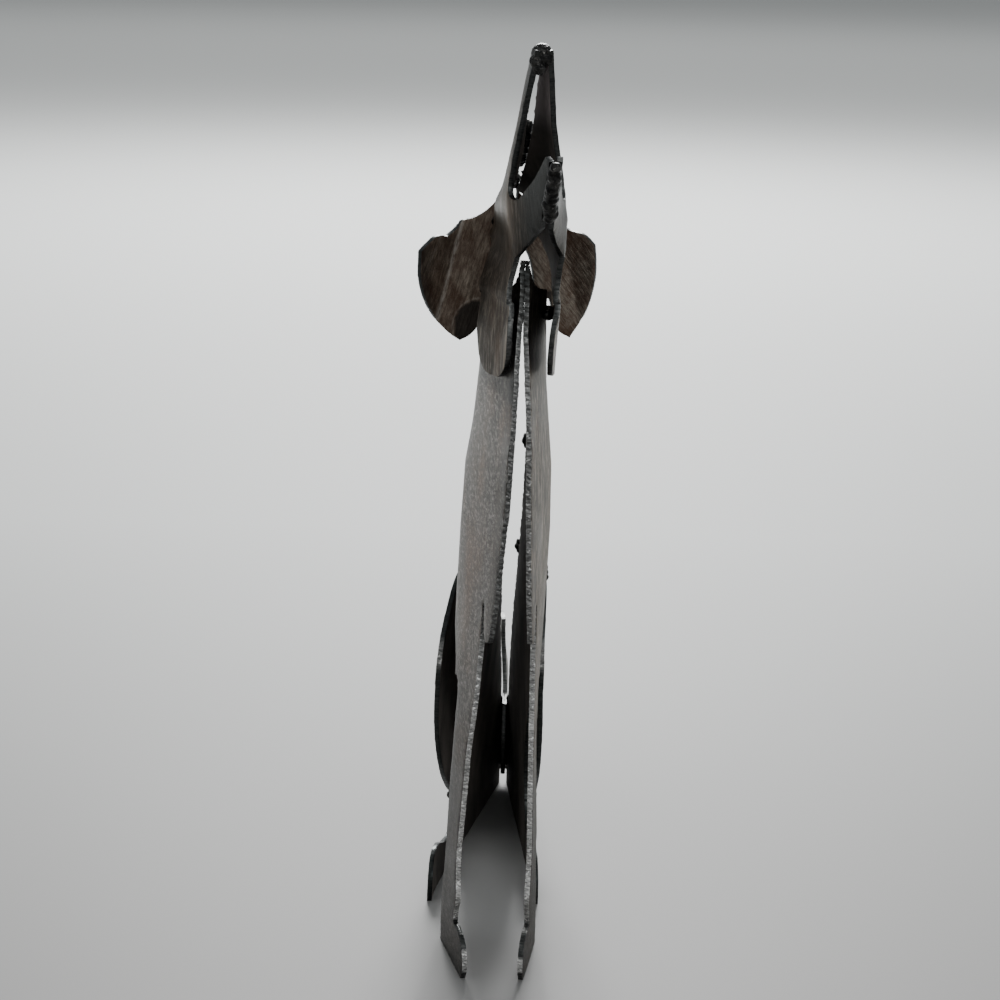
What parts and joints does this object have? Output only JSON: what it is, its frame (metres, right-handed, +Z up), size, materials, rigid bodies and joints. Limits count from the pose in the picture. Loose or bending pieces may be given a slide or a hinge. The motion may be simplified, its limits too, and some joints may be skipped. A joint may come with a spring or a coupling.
{
  "type": "welded sheet metal coyote figurine",
  "caption": "Sitting, howling coyote figurine of hand-cut bent steel sheets welded at their edges; stands on the edges of its feet.",
  "frame": {"origin": "bottom centre of the bounding box, on the ground under the figure", "axes": "+Z up; the chest and the front paws face -Y; +X is to the right as the picture is seen"},
  "size_m": [0.0582, 0.214, 0.305],
  "materials": {
    "ground_steel": "ground with a disc, brown heat tint near the welds",
    "heat_tinted_steel": "brown heat tint over fine grinding lines",
    "weld_metal": "as welded, dark and glossy"
  },
  "bodies": {
    "root": {"body_left": "ground_steel", "body_right": "ground_steel", "haunch_left": "ground_steel", "haunch_right": "ground_steel", "head_left": "ground_steel", "head_right": "ground_steel", "ear_left": "heat_tinted_steel", "ear_right": "heat_tinted_steel", "tail": "ground_steel", "weld_nose": "weld_metal", "weld_jaw": "weld_metal", "weld_crown": "weld_metal", "weld_nape": "weld_metal", "weld_ear_left": "weld_metal", "weld_ear_right": "weld_metal", "weld_neck_left": "weld_metal", "weld_neck_right": "weld_metal", "weld_haunch_left_upper": "weld_metal", "weld_haunch_left_lower": "weld_metal", "weld_haunch_right_upper": "weld_metal", "weld_haunch_right_lower": "weld_metal", "weld_tail_left": "weld_metal", "weld_tail_right": "weld_metal", "lump_spine_upper": "weld_metal", "lump_spine_lower": "weld_metal"}
  },
  "joints": []
}
